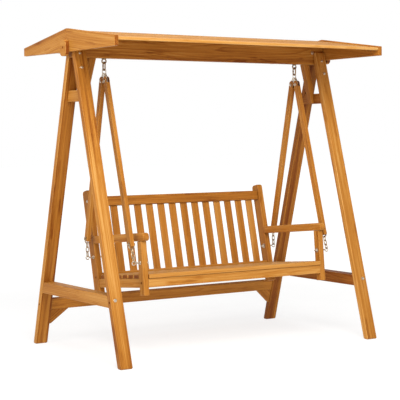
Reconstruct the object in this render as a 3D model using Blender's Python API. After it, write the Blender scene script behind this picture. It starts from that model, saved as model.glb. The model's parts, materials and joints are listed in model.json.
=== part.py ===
"""Canopy swing bench: a timber two-seat bench hung on steel links and wooden bars from the ridge
beam of two A-frames, under a low pitched boarded roof.

Metres. +Z is up, +X runs along the bench, the sitter faces -Y. The floor is z = 0 and the
frame is symmetric about x = 0 and y = 0.
"""
import math

import bmesh
import bpy
from mathutils import Matrix, Vector

GAP = 0.0003                  # clearance left between pieces that touch

# A-frames
LEG_X = 0.856                 # centre plane of each A-frame
LEG_WIDE = 0.076              # leg timber along X
LEG_THICK = 0.036             # leg timber across the A-frame
LEG_SLOPE = 0.2853            # sideways run of a leg per metre of height
FOOT_HALF = 0.539             # outer face of a leg at the floor
LEG_TOP = 1.765
LOW_RAIL_Z = (0.319, 0.384)   # bottom and top of the lower side rails
HIGH_RAIL_Z = (1.442, 1.505)  # bottom and top of the upper cross rails
HIGH_RAIL_SET_BACK = 0.022    # from the legs' outer side face

# ridge beam, stretcher and braces
BEAM_HALF_Y = 0.020
BEAM_Z = (1.688, 1.8218)
BEAM_HALF_X = 0.894
STRETCHER_Z = (0.213, 0.278)
STRETCHER_THICK = 0.028
GUSSET_RUN = 0.117
GUSSET_DROP = 0.092
GUSSET_TIP = 0.010

# roof
ROOF_PEAK = 1.850
ROOF_FALL = 0.139             # drop per metre out from the ridge
ROOF_HALF_Y = 0.556
GABLE_THICK = 0.025
GABLE_BOTTOM = 1.7175
BOARD_THICK = 0.016
BOARD_SET_DOWN = 0.009        # roof boards sit this far below the gable's top edge
BOARDS_PER_SLOPE = 6
CLEAT = (0.022, 0.0375, 1.694, 1.784)   # thickness, half width, bottom, top

# hangers
HANG_X = 0.680                # plane of the bars, links and eye bolts
EYE_RING = 0.012              # centreline radius of the beam's eyes
EYE_Z = 1.672
WIRE = 0.003
LINK_END = 0.011              # centreline radius of a link's round ends
LINK_LONG = 0.045             # top wire to bottom wire of the upper link
BOW_WIRE = 0.0028
CHEEK = (0.0123, 0.0153)      # bracket plates, either side of a bar's foot
YOKE_PLATE = (0.0048, 0.0076)  # yoke plates, in a slot down the top of both bars
SLOT = (0.0081, 0.040)        # half width and depth of that slot

# suspension bars
BAR_THICK = 0.024
BAR_WIDE = 0.037
BAR_TOP = 1.585
BAR_FOOT = 0.630
FRONT_BAR = (0.001, 0.287)    # inner edge at the top, and slope
REAR_BAR = (-0.003, 0.225)

# bench: its own frame is tipped back about the front posts
BENCH_TILT = math.radians(5.3)
BENCH_Y = -0.345
BENCH_Z = 0.500
POST_OUT = 0.640              # outer face of the bench posts
POST_THICK = 0.035
FRONT_POST_DEEP = 0.047
FRONT_POST_W = (-0.140, 0.163)
RAIL_W = (-0.0963, -0.0463)   # seat rails, bottom and top above the bench origin
RAIL_THICK = 0.026
ARM_THICK = 0.046
ARM_WIDE = 0.038
ARM_NOSE = -0.029
SEAT_SLATS = 8
SEAT_PITCH = 0.0655
SEAT_SLAT_WIDE = 0.055
SEAT_SLAT_THICK = 0.024
SEAT_START = -0.008

# back
BACK_LEAN = math.radians(13.46)
BACK_Y = 0.1980
BACK_POST_DEEP = 0.067
BACK_POST_S = (-0.190, 0.440)
TOP_RAIL_S = (0.343, 0.401)
FOOT_RAIL_S = (-0.1065, -0.0585)
BACK_RAIL_N = (0.013, 0.045)
BACK_SLAT_N = (0.029, 0.043)
BACK_SLATS = 14
BACK_PITCH = 0.083
BACK_SLAT_WIDE = 0.046

# eye bolts in the bench posts
EYE_SMALL = 0.011
FRONT_EYE = (-0.317, 0.541)
REAR_EYE = (0.231, 0.530)
SHANK = 0.004
CHAIN_WIRE = 0.0025
CHAIN_END = 0.0075


def clear():
    for old in list(bpy.data.objects):
        bpy.data.objects.remove(old, do_unlink=True)


def material(name, colour, metallic, roughness):
    mat = bpy.data.materials.new(name)
    mat.use_nodes = True
    shader = mat.node_tree.nodes["Principled BSDF"]
    shader.inputs["Base Color"].default_value = (*colour, 1.0)
    shader.inputs["Metallic"].default_value = metallic
    shader.inputs["Roughness"].default_value = roughness
    mat.diffuse_color = (*colour, 1.0)
    return mat


def side_frame(x):
    """Outlines drawn as (y, z), thickness along X."""
    return Matrix(((0, 0, 1, x), (1, 0, 0, 0), (0, 1, 0, 0), (0, 0, 0, 1)))


def front_frame(y):
    """Outlines drawn as (x, z), thickness along Y."""
    return Matrix(((1, 0, 0, 0), (0, 0, -1, y), (0, 1, 0, 0), (0, 0, 0, 1)))


def tipped(y, z, angle):
    return Matrix.Translation((0, y, z)) @ Matrix.Rotation(-angle, 4, "X")


BENCH = tipped(BENCH_Y, BENCH_Z, BENCH_TILT)
BACK = tipped(BACK_Y, BENCH_Z, BACK_LEAN)


def finish(name, bm, mat, frame=None):
    if frame is not None:
        bmesh.ops.transform(bm, matrix=frame, verts=bm.verts)
    bmesh.ops.recalc_face_normals(bm, faces=bm.faces)
    mesh = bpy.data.meshes.new(name)
    bm.to_mesh(mesh)
    bm.free()
    mesh.materials.append(wood if mat is None else mat)
    obj = bpy.data.objects.new(name, mesh)
    bpy.context.collection.objects.link(obj)
    return obj


def prism(name, outline, thick, frame, mat=None, chamfer=0.002, centre=0.0):
    """A closed outline given a thickness, its edges broken with a small chamfer."""
    bm = bmesh.new()
    low = [bm.verts.new((a, b, centre - thick / 2)) for a, b in outline]
    high = [bm.verts.new((a, b, centre + thick / 2)) for a, b in outline]
    bm.faces.new(low[::-1])
    bm.faces.new(high)
    count = len(outline)
    for i in range(count):
        j = (i + 1) % count
        bm.faces.new((low[i], low[j], high[j], high[i]))
    if chamfer:
        sharp = [e for e in bm.edges if e.calc_face_angle(0.0) > math.radians(50)]
        bmesh.ops.bevel(bm, geom=sharp, offset=chamfer, segments=1, affect="EDGES",
                        clamp_overlap=True)
    return finish(name, bm, mat, frame)


def block(name, xs, ys, zs, frame=None, mat=None, chamfer=0.002):
    """A rectangular board between two limits on each axis of its frame."""
    (x0, x1), (y0, y1), (z0, z1) = xs, ys, zs
    outline = [(x0, z0), (x1, z0), (x1, z1), (x0, z1)]
    placed = front_frame(0.0) if frame is None else frame @ front_frame(0.0)
    return prism(name, outline, y1 - y0, placed, mat, chamfer, centre=-(y0 + y1) / 2)


def tube(name, path, radius, sides, closed, mat, frame=None):
    """Round wire swept along a path that lies in one plane."""
    bm = bmesh.new()
    count = len(path)
    points = [Vector(p) for p in path]
    plane = Vector((0, 0, 0))
    for i in range(1, count - 1):
        plane = (points[i] - points[0]).cross(points[i + 1] - points[0])
        if plane.length > 1e-9:
            break
    if plane.length < 1e-9:
        along = points[-1] - points[0]
        plane = along.orthogonal()
    plane.normalize()
    rings = []
    for i in range(count):
        if closed:
            before, after = points[i - 1], points[(i + 1) % count]
        else:
            before, after = points[max(i - 1, 0)], points[min(i + 1, count - 1)]
        tangent = (after - before).normalized()
        inward = plane.cross(tangent)
        stretch = 1.0
        if closed or 0 < i < count - 1:
            turn = (points[i] - before).angle(after - points[i], 0.0)
            stretch = 1.0 / max(math.cos(turn / 2), 0.5)
        ring = []
        for k in range(sides):
            a = 2 * math.pi * (k + 0.5) / sides
            offset = inward * (radius * stretch * math.cos(a)) + plane * (radius * math.sin(a))
            ring.append(bm.verts.new(points[i] + offset))
        rings.append(ring)
    spans = count if closed else count - 1
    for i in range(spans):
        one, two = rings[i], rings[(i + 1) % count]
        for k in range(sides):
            n = (k + 1) % sides
            bm.faces.new((one[k], one[n], two[n], two[k]))
    if not closed:
        bm.faces.new(rings[0][::-1])
        bm.faces.new(rings[-1])
    return finish(name, bm, mat, frame)


def combine(target, others, operation):
    """Boolean each of the others into the target, keep the result, drop the others."""
    for other in others:
        step = target.modifiers.new("combine", "BOOLEAN")
        step.operation = operation
        step.solver = "EXACT"
        step.object = other
        graph = bpy.context.evaluated_depsgraph_get()
        mesh = bpy.data.meshes.new_from_object(target.evaluated_get(graph))
        target.modifiers.remove(step)
        old = target.data
        target.data = mesh
        bpy.data.meshes.remove(old)
        bpy.data.objects.remove(other, do_unlink=True)
        tidy = bmesh.new()
        tidy.from_mesh(mesh)
        bmesh.ops.remove_doubles(tidy, verts=tidy.verts, dist=1e-6)
        bmesh.ops.dissolve_degenerate(tidy, edges=tidy.edges, dist=1e-6)
        tidy.to_mesh(mesh)
        tidy.free()
    target.data.name = target.name
    return target


def rod(name, start, end, radius, sides=12, mat=None):
    return tube(name, [start, end], radius, sides, False, mat)


def oval(long, end, segments=5):
    """Closed centreline of a chain link, long axis up, centred, in its own (side, up) plane."""
    half = long / 2 - end
    path = []
    for k in range(segments + 1):
        a = math.pi * k / segments
        path.append((end * math.cos(a), half + end * math.sin(a)))
    for k in range(segments + 1):
        a = math.pi + math.pi * k / segments
        path.append((end * math.cos(a), -half + end * math.sin(a)))
    return path


def arc(cx, cz, radius, start, stop, steps):
    points = []
    for k in range(steps + 1):
        a = math.radians(start + (stop - start) * k / steps)
        points.append((cx + radius * math.cos(a), cz + radius * math.sin(a)))
    return points


def leg_inner(z):
    return FOOT_HALF - LEG_THICK * math.hypot(1.0, LEG_SLOPE) - LEG_SLOPE * z


def leg_outer(z):
    return FOOT_HALF - LEG_SLOPE * z


def a_frame(side, label):
    """Two legs with the lower side rail and the upper cross rail between them."""
    frame = side_frame(side * LEG_X)
    shoulder = BEAM_HALF_Y + GAP
    meet = (leg_inner(0.0) - shoulder) / LEG_SLOPE
    for sign, place in ((-1, "front"), (1, "rear")):
        outline = [(leg_outer(0.0), 0.0), (leg_outer(LEG_TOP), LEG_TOP), (shoulder, LEG_TOP),
                   (shoulder, meet), (leg_inner(0.0), 0.0)]
        outline = [(sign * a, b) for a, b in outline]
        prism(f"leg_{place}_{label}", outline, LEG_WIDE, frame, chamfer=0.0035)
    for name, (bottom, top), back in (("lower_side_rail", LOW_RAIL_Z, 0.001),
                                      ("upper_cross_rail", HIGH_RAIL_Z, HIGH_RAIL_SET_BACK)):
        low = leg_inner(bottom) - GAP
        high = leg_inner(top) - GAP
        outline = [(-low, bottom), (low, bottom), (high, top), (-high, top)]
        thick = LEG_WIDE - 0.001 - back
        prism(f"{name}_{label}", outline, thick, frame, centre=side * (0.001 - back) / 2)


def knee_brace(side, label):
    """Slanting brace from under the beam to the inner face of the upper cross rail."""
    face = LEG_X - LEG_WIDE / 2 - GAP
    top = BEAM_Z[0] - GAP
    foot = HIGH_RAIL_Z[0]
    outline = [(0.740, top), (0.782, top), (face, 1.546), (face, foot), (0.804, foot)]
    outline = [(side * a, b) for a, b in outline]
    prism(f"knee_brace_{label}", outline, 2 * BEAM_HALF_Y, front_frame(0.0))


def stretcher_frame():
    """Plane of the rear legs: outlines as (x, distance up from the floor along the leg)."""
    lean = math.atan(LEG_SLOPE)
    middle = (leg_outer(0.0) + leg_inner(0.0)) / 2
    return Matrix.Translation((0, middle, 0)) @ Matrix.Rotation(lean, 4, "X") @ front_frame(0.0)


def rear_stretcher():
    rise = math.hypot(1.0, LEG_SLOPE)
    frame = stretcher_frame()
    end = LEG_X - LEG_WIDE / 2 - GAP
    low, high = STRETCHER_Z[0] * rise, STRETCHER_Z[1] * rise
    outline = [(-end, low), (end, low), (end, high), (-end, high)]
    prism("rear_stretcher", outline, STRETCHER_THICK, frame)
    top = low - GAP
    foot = top - GUSSET_DROP
    for side, label in ((-1, "left"), (1, "right")):
        outline = [(end, top), (end, foot), (end - GUSSET_TIP, foot), (end - GUSSET_RUN, top)]
        outline = [(side * a, b) for a, b in outline]
        prism(f"stretcher_gusset_{label}", outline, STRETCHER_THICK - 0.002, frame)


def beam():
    body = block("ridge_beam", (-BEAM_HALF_X, BEAM_HALF_X), (-BEAM_HALF_Y, BEAM_HALF_Y), BEAM_Z)
    drills = []
    for side in (-1, 1):
        x = side * HANG_X
        drills.append(rod("drill", (x, 0, BEAM_Z[0] - 0.01), (x, 0, BEAM_Z[0] + 0.052),
                          SHANK + GAP))
    combine(body, drills, "DIFFERENCE")


def roof():
    """Two boarded slopes between pairs of gable halves, with a cleat on each peak."""
    inner = BEAM_HALF_X - 0.0002
    top = ROOF_PEAK - BOARD_SET_DOWN
    width = (ROOF_HALF_Y - 0.003) / BOARDS_PER_SLOPE
    notch = 0.003
    for sign, place in ((-1, "front"), (1, "rear")):
        upper = [(GAP, top)]
        for k in range(1, BOARDS_PER_SLOPE):
            y = k * width
            upper.append((y - notch, top - ROOF_FALL * (y - notch)))
            upper.append((y, top - ROOF_FALL * y - notch))
            upper.append((y + notch, top - ROOF_FALL * (y + notch)))
        edge = BOARDS_PER_SLOPE * width
        upper.append((edge, top - ROOF_FALL * edge))
        outline = upper + [(edge, top - ROOF_FALL * edge - BOARD_THICK), (GAP, top - BOARD_THICK)]
        outline = [(sign * a, b) for a, b in outline]
        prism(f"roof_boards_{place}", outline, 2 * inner, side_frame(0.0), chamfer=0.0)
    tip = ROOF_PEAK - ROOF_FALL * ROOF_HALF_Y
    centre = BEAM_HALF_X + GAP + GABLE_THICK / 2
    for side, label in ((-1, "left"), (1, "right")):
        for sign, place in ((-1, "front"), (1, "rear")):
            outline = [(GAP / 2, GABLE_BOTTOM), (ROOF_HALF_Y, GABLE_BOTTOM), (ROOF_HALF_Y, tip),
                       (GAP / 2, ROOF_PEAK)]
            outline = [(sign * a, b) for a, b in outline]
            prism(f"gable_{place}_{label}", outline, GABLE_THICK, side_frame(side * centre))
        thick, half, low, high = CLEAT
        x = side * (centre + GABLE_THICK / 2 + GAP + thick / 2)
        corner = 0.026
        outline = arc(half - corner, high - corner, corner, 0, 90, 4)
        outline += arc(corner - half, high - corner, corner, 90, 180, 4)
        outline += arc(corner - half, low + corner, corner, 180, 270, 4)
        outline += arc(half - corner, low + corner, corner, 270, 360, 4)
        prism(f"gable_cleat_{label}", outline, thick, side_frame(x))


def ring_path(x, y, z, radius, steps):
    """Circle in the XZ plane."""
    return [(x + radius * math.cos(2 * math.pi * k / steps), y,
             z + radius * math.sin(2 * math.pi * k / steps)) for k in range(steps)]


def hexagon(name, x, y, z, across, thick):
    outline = [(across / 2 * math.cos(math.radians(60 * k)), across / 2 * math.sin(math.radians(60 * k)))
               for k in range(6)]
    frame = Matrix.Translation((0, y, z)) @ side_frame(x)
    return prism(name, outline, thick, frame, steel, chamfer=0.0)


def beam_hardware(side, label):
    """Eye bolt in the beam, the upper link on it, and the yoke that holds the two bars."""
    x = side * HANG_X
    under = BEAM_Z[0] - GAP
    eye = tube(f"beam_eye_bolt_{label}", ring_path(x, 0, EYE_Z, EYE_RING, 14), WIRE, 6, True, steel)
    shank = rod("shank", (x, 0, EYE_Z + EYE_RING), (x, 0, BEAM_Z[0] + 0.048), SHANK, 12, steel)
    flange = rod("flange", (x, 0, under - 0.0025), (x, 0, under), 0.011, 12, steel)
    combine(eye, [shank, flange], "UNION")

    link_top = EYE_Z - EYE_RING + 2 * WIRE + GAP
    link_mid = link_top - LINK_LONG / 2
    path = [(x, a, link_mid + b) for a, b in oval(LINK_LONG, LINK_END, 6)]
    tube(f"upper_link_{label}", path, WIRE, 6, True, steel)

    bow_z = link_top - LINK_LONG + WIRE + BOW_WIRE + GAP
    reach = (YOKE_PLATE[0] + YOKE_PLATE[1]) / 2
    path = [(x - reach, 0, 1.604), (x - reach, 0, bow_z - 0.0036), (x - reach + 0.0036, 0, bow_z),
            (x + reach - 0.0036, 0, bow_z), (x + reach, 0, bow_z - 0.0036), (x + reach, 0, 1.604)]
    yoke = tube(f"bar_yoke_{label}", path, BOW_WIRE, 8, False, steel)
    shape = [(-0.007, 1.616), (-0.033, 1.572), (-0.034, 1.552), (-0.028, 1.548), (-0.019, 1.552),
             (0.0, 1.594), (0.017, 1.552), (0.026, 1.548), (0.031, 1.554), (0.029, 1.574),
             (0.007, 1.616)]
    plates = []
    for hand in (-1, 1):
        plates.append(prism("plate", shape, YOKE_PLATE[1] - YOKE_PLATE[0],
                            side_frame(x + hand * reach), steel, chamfer=0.0))
    combine(yoke, plates, "UNION")


def bar_points(inner, sign):
    """Centre line of a suspension bar, from its top to its foot, as (y, z)."""
    start, slope = inner
    half = BAR_WIDE / 2 * math.hypot(1.0, slope)
    y_top = start + sign * half
    y_foot = start + sign * (slope * (BAR_TOP - BAR_FOOT) + half)
    return Vector((y_top, BAR_TOP)), Vector((y_foot, BAR_FOOT))


def suspension(side, label):
    """Two bars, the bracket and chain under each, and the eye bolt each chain holds."""
    x = side * HANG_X
    for sign, place, inner, eye in ((-1, "front", FRONT_BAR, FRONT_EYE),
                                    (1, "rear", REAR_BAR, REAR_EYE)):
        top, foot = bar_points(inner, sign)
        along = (foot - top).normalized()
        across = Vector((-along.y, along.x))
        half = across * (BAR_WIDE / 2)
        shoulder = 0.012
        corners = [foot + half, foot - half, top - half * 0.999, top + half * 0.999]
        outer, mid = top + half, top - half
        outline = [corners[0], corners[1], mid + along * shoulder, mid + half * 0.7,
                   outer - half * 0.7, outer + along * shoulder]
        bar = prism(f"bar_{place}_{label}", [tuple(p) for p in outline], BAR_THICK, side_frame(x),
                    chamfer=0.0015)
        deep = top + along * SLOT[1]
        above = top - along * 0.010
        wide = half * 1.5
        gate = [tuple(deep - wide), tuple(deep + wide), tuple(above + wide), tuple(above - wide)]
        combine(bar, [prism("slot", gate, 2 * SLOT[0], side_frame(x), chamfer=0.0)],
                "DIFFERENCE")

        reach = (CHEEK[0] + CHEEK[1]) / 2
        low = foot + along * 0.014
        start = foot + along * 0.004
        bend = low - along * 0.005
        path = [(x - reach, *start), (x - reach, *bend), (x - reach + 0.005, *low),
                (x + reach - 0.005, *low), (x + reach, *bend), (x + reach, *start)]
        chain = tube(f"chain_{place}_{label}", path, BOW_WIRE, 6, False, steel)
        pieces = []
        a, b = foot - along * 0.026, foot + along * 0.008
        wide = across * 0.008
        for hand in (-1, 1):
            shape = [tuple(a - wide), tuple(b - wide), tuple(b + wide), tuple(a + wide)]
            pieces.append(prism("cheek", shape, CHEEK[1] - CHEEK[0],
                                side_frame(x + hand * reach), steel, chamfer=0.0))
        bite = 0.0004
        goal = Vector((eye[0], eye[1] + EYE_SMALL))
        down = (goal - low).normalized()
        span = (goal - low).length
        lead = BOW_WIRE + CHAIN_WIRE - bite
        step = 2 * CHAIN_WIRE - bite
        long = (span + WIRE + CHAIN_WIRE + 2 * GAP + lead + 2 * step) / 3
        at = low - down * lead
        for k in range(3):
            middle = at + down * (long / 2)
            path = []
            for s, u in oval(long, CHAIN_END, 4):
                if k == 1:
                    spot = middle - down * u
                    path.append((x + s, *spot))
                else:
                    sideways = Vector((-down.y, down.x)) * s
                    spot = middle - down * u + sideways
                    path.append((x, *spot))
            pieces.append(tube("link", path, CHAIN_WIRE, 6, True, steel))
            at = at + down * (long - step)
        combine(chain, pieces, "UNION")

        y, z = eye
        bolt = tube(f"post_eye_bolt_{place}_{label}", ring_path(x, y, z, EYE_SMALL, 12), WIRE, 6,
                    True, steel)
        inside = POST_OUT - POST_THICK
        shank = rod("shank", (x - side * EYE_SMALL, y, z), (side * (inside - 0.018), y, z), SHANK,
                    12, steel)
        washer = rod("washer", (side * (POST_OUT + GAP), y, z),
                     (side * (POST_OUT + GAP + 0.002), y, z), 0.010, 12, steel)
        nut = hexagon("nut", side * (inside - GAP - 0.003), y, z, 0.015, 0.006)
        combine(bolt, [shank, washer, nut], "UNION")


def back_face(w):
    """Front face of the back posts in the bench's own frame."""
    dy = BACK_Y - BENCH_Y
    u0 = dy * math.cos(BENCH_TILT)
    w0 = dy * math.sin(BENCH_TILT)
    return u0 + math.tan(BACK_LEAN - BENCH_TILT) * (w - w0)


def drill_post(post, side, eye):
    y, z = eye
    hole = rod("drill", (side * (POST_OUT + 0.01), y, z),
               (side * (POST_OUT - POST_THICK - 0.01), y, z), SHANK + GAP)
    combine(post, [hole], "DIFFERENCE")


def bench_end(side, label):
    """One end frame of the bench: front post, back post, armrest and seat side rail."""
    centre = side * (POST_OUT - POST_THICK / 2)
    low, high = FRONT_POST_W
    outline = [(0.0, low), (FRONT_POST_DEEP, low), (FRONT_POST_DEEP, high), (0.0, high)]
    post = prism(f"front_post_{label}", outline, POST_THICK, BENCH @ side_frame(centre),
                 chamfer=0.003)
    drill_post(post, side, FRONT_EYE)

    low, high = BACK_POST_S
    deep = BACK_POST_DEEP
    outline = [(0.0, low), (deep, low)]
    outline += arc(deep - 0.018, high - 0.018, 0.018, 0, 90, 4)
    outline += arc(0.018, high - 0.018, 0.018, 90, 180, 4)
    post = prism(f"back_post_{label}", outline, POST_THICK, BACK @ side_frame(centre),
                 chamfer=0.003)
    drill_post(post, side, REAR_EYE)

    bottom = FRONT_POST_W[1] + GAP
    top = bottom + ARM_THICK
    nose = ARM_NOSE
    outline = [(back_face(bottom) - GAP, bottom), (back_face(top) - GAP, top)]
    outline += arc(nose + 0.023, top - 0.023, 0.023, 90, 180, 4)
    outline += arc(nose + 0.018, bottom + 0.018, 0.018, 180, 270, 4)
    x = side * (POST_OUT - ARM_WIDE / 2)
    prism(f"armrest_{label}", outline, ARM_WIDE, BENCH @ side_frame(x), chamfer=0.003)

    bottom, top = RAIL_W
    start = FRONT_POST_DEEP + GAP
    outline = [(start, bottom), (back_face(bottom) - GAP, bottom), (back_face(top) - GAP, top),
               (start, top)]
    x = side * (POST_OUT - 0.004 - RAIL_THICK / 2)
    prism(f"seat_side_rail_{label}", outline, RAIL_THICK, BENCH @ side_frame(x))


def seat():
    inside = POST_OUT - POST_THICK - GAP
    block("seat_front_rail", (-inside, inside), (0.001, 0.001 + RAIL_THICK), RAIL_W, BENCH)
    between = POST_OUT - 0.004 - RAIL_THICK - GAP
    block("seat_rear_rail", (-between, between), (0.490, 0.490 + RAIL_THICK), RAIL_W, BENCH)
    base = RAIL_W[1] + GAP
    for k in range(SEAT_SLATS):
        start = SEAT_START + k * SEAT_PITCH
        half = inside if k == 0 else POST_OUT - 0.006
        block(f"seat_slat_{k + 1}", (-half, half), (start, start + SEAT_SLAT_WIDE),
              (base, base + SEAT_SLAT_THICK), BENCH, chamfer=0.003)


def back():
    """Top rail, lower rail and fourteen upright slats, glued up as one panel."""
    inside = POST_OUT - POST_THICK - GAP
    panel = block("backrest", (-inside, inside), BACK_RAIL_N, TOP_RAIL_S, BACK, chamfer=0.003)
    parts = [block("rail", (-inside, inside), BACK_RAIL_N, FOOT_RAIL_S, BACK)]
    for k in range(BACK_SLATS):
        x = (k - (BACK_SLATS - 1) / 2) * BACK_PITCH
        parts.append(block("slat", (x - BACK_SLAT_WIDE / 2, x + BACK_SLAT_WIDE / 2), BACK_SLAT_N,
                           (FOOT_RAIL_S[1] - 0.010, TOP_RAIL_S[0] + 0.010), BACK, chamfer=0.0))
    combine(panel, parts, "UNION")


clear()
wood = material("oiled_timber", (0.62, 0.32, 0.11), 0.0, 0.5)
steel = material("zinc_plated_steel", (0.72, 0.70, 0.66), 1.0, 0.35)

for hand, word in ((-1, "left"), (1, "right")):
    a_frame(hand, word)
    knee_brace(hand, word)
    beam_hardware(hand, word)
    suspension(hand, word)
    bench_end(hand, word)
rear_stretcher()
beam()
roof()
seat()
back()
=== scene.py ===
import json
import math
import random

import bmesh
import bpy
from mathutils import Matrix, Vector


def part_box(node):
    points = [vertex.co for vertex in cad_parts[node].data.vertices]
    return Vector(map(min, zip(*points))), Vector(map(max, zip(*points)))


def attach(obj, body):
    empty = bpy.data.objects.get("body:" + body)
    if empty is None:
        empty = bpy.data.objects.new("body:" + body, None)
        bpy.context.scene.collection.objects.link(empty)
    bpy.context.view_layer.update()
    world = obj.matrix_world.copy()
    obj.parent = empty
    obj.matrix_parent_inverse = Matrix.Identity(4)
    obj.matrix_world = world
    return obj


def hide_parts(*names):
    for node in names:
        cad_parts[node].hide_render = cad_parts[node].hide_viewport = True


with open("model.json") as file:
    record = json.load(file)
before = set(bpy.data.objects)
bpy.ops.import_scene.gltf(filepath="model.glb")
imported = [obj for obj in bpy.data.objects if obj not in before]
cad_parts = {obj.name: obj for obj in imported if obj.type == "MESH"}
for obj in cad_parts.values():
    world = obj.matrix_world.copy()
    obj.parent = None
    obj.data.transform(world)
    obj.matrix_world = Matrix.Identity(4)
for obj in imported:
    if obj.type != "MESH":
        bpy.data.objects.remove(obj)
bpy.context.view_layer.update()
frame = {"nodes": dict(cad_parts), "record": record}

# A canopy swing bench. Every CAD node is replaced by a detailed piece that rides on its body.

NODES = frame["nodes"]
BODIES = frame["record"]["behaviour"]["bodies"]
BODY = {member: body for body, members in BODIES.items() for member in members}
TIMBER = "oiled_timber"
STEEL = "zinc_plated_steel"
SIDES = ((-1, "left"), (1, "right"))

# ---- dimensions shared with the CAD, in metres ----
# a pair of numbers is a span, and GAP is the clearance between neighbouring parts
GAP = 0.0003
# A-frames and beam
LEG_SLOPE = 0.2853  # how far the legs close in per metre of height
FOOT_HALF = 0.539
LEG_THICK = 0.036
LEG_FACE = 0.894  # outer side face of the legs
BEAM_BOTTOM = 1.688
BEAM_HALF_Y = 0.020
# roof
GABLE_INSIDE = 0.8943
GABLE_BOTTOM = 1.7175
ROOF_PEAK = 1.850
ROOF_FALL = 0.139
ROOF_HALF_Y = 0.556
BOARD_THICK = 0.016
BOARD_SET_DOWN = 0.009
BOARDS_PER_SLOPE = 6
# upper eye, link and yoke
HANG_X = 0.680
EYE_RING = 0.012
EYE_Z = 1.672
WIRE = 0.003
SHANK = 0.004
LINK_END = 0.011
LINK_LONG = 0.045
BOW_WIRE = 0.0028
YOKE_PLATE = (0.0048, 0.0076)
# suspension bars: each inner edge is (offset at the top, offset gained per metre of drop)
BAR_WIDE = 0.037
BAR_THICK = 0.024
BAR_TOP = 1.585
BAR_FOOT = 0.630
FRONT_BAR = (0.001, 0.287)
REAR_BAR = (-0.003, 0.225)
SLOT_HALF = 0.0081
SLOT_DEEP = 0.040
# brackets, chains and eye bolts of the bench; an eye is (y, z)
CHEEK = (0.0123, 0.0153)
CHAIN_WIRE = 0.0030
CHAIN_END = 0.0080
EYE_SMALL = 0.011
FRONT_EYE = (-0.317, 0.541)
REAR_EYE = (0.231, 0.530)
# bench, in the tilted frames BENCH and BACK
BENCH_TILT = math.radians(5.3)
BENCH_Y = -0.345
BENCH_Z = 0.500
POST_OUT = 0.640
POST_THICK = 0.035
SEAT_SLATS = 8
BACK_LEAN = math.radians(13.46)
BACK_Y = 0.1980
TOP_RAIL_S = (0.343, 0.401)
FOOT_RAIL_S = (-0.1065, -0.0585)
BACK_RAIL_N = (0.013, 0.045)
BACK_SLAT_N = (0.029, 0.043)
BACK_SLATS = 14
BACK_PITCH = 0.083
BACK_SLAT_WIDE = 0.046

# ---- details that only the visual has ----
STOUT = 0.0010  # extra wire radius of the upper eye and link, grown outwards
REAR_TIP_LIFT = 0.008  # the rear gables' lower edges rise this much to their tips
HOLE = 0.0062  # radius of a screw's recess
HOLE_DEEP = 0.0120
NARROW = 0.0059  # a CAD face narrower than this is a chamfer
END_SHADE = 0.34  # how much darker end grain is; it also scales the painted shade of recesses and saw cuts and the painted light and shade of left faces
RECESS_PAINTED_SHADE = 3.0  # how many times darker than end grain a recess's walls are painted: painted shade inside the recess
SLOT_PAINTED_SHADE = 1.8  # the same for the walls of the saw cuts down the bars' tops: painted shade inside the cut


def tipped(y, z, angle):
    """A frame at (y, z), leaning back by an angle."""
    return Matrix.Translation((0, y, z)) @ Matrix.Rotation(-angle, 4, "X")


BENCH = tipped(BENCH_Y, BENCH_Z, BENCH_TILT)
BACK = tipped(BACK_Y, BENCH_Z, BACK_LEAN)


# ---- material graphs ----

class Graph:
    """A material's nodes, written as short calls."""

    def __init__(self, name):
        self.material = bpy.data.materials.new(name)
        self.material.use_nodes = True
        self.tree = self.material.node_tree
        self.tree.nodes.clear()
        self.shader = self.node("BsdfPrincipled", {})
        self.node("OutputMaterial", {0: self.shader.outputs[0]})

    def put(self, socket, value):
        if isinstance(value, bpy.types.NodeSocket):
            self.tree.links.new(value, socket)
        else:
            socket.default_value = value

    def node(self, kind, values, **settings):
        made = self.tree.nodes.new("ShaderNode" + kind)
        for key, value in settings.items():
            setattr(made, key, value)
        for key, value in values.items():
            self.put(made.inputs[key], value)
        return made

    def math(self, operation, a, b=0.0, c=0.0):
        return self.node("Math", {0: a, 1: b, 2: c}, operation=operation).outputs[0]

    def attribute(self, name, output):
        return self.node("Attribute", {}, attribute_name=name).outputs[output]

    def stretch(self, vector, scale):
        return self.node("VectorMath", {0: vector, 1: scale}, operation="MULTIPLY").outputs[0]

    def split(self, vector):
        return self.node("SeparateXYZ", {0: vector}).outputs

    def length(self, vector):
        return self.node("VectorMath", {0: vector}, operation="LENGTH").outputs["Value"]

    def noise(self, vector, scale=1.0, detail=2.0, rough=0.5):
        values = {"Vector": vector, "Scale": scale, "Detail": detail, "Roughness": rough}
        return self.node("TexNoise", values).outputs

    def add(self, a, b):
        return self.math("ADD", a, b)

    def scaled(self, value, amount, start):
        """start, plus amount times a value."""
        return self.math("MULTIPLY_ADD", value, amount, start)

    def swing(self, value, amount):
        """A 0..1 value turned into -amount..amount about its middle."""
        return self.scaled(value, 2.0 * amount, -amount)

    def ramp(self, value, stops, interpolation):
        made = self.node("ValToRGB", {0: value})
        ramp = made.color_ramp
        ramp.interpolation = interpolation
        while len(ramp.elements) < len(stops):
            ramp.elements.new(0.5)
        for element, (place, colour) in zip(ramp.elements, stops):
            element.position = place
            element.color = (*colour, 1.0)
        return made.outputs[0]

    def mask(self, value, low, high):
        """0 at low and 1 at high, eased between."""
        values = {"Value": value, "From Min": low, "From Max": high}
        return self.node("MapRange", values, interpolation_type="SMOOTHSTEP").outputs[0]

    def mix(self, factor, a, b):
        made = self.node("Mix", {}, data_type="RGBA", blend_type="MIX")
        self.put(made.inputs[0], factor)
        self.put(made.inputs[6], a)
        self.put(made.inputs[7], b)
        return made.outputs[2]

    def set(self, **values):
        """Sets the shader's sockets; an underscore stands for a space in a socket's name."""
        for key, value in values.items():
            self.put(self.shader.inputs[key.replace("_", " ")], value)


def grey(value):
    return (value, value, value)


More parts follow.
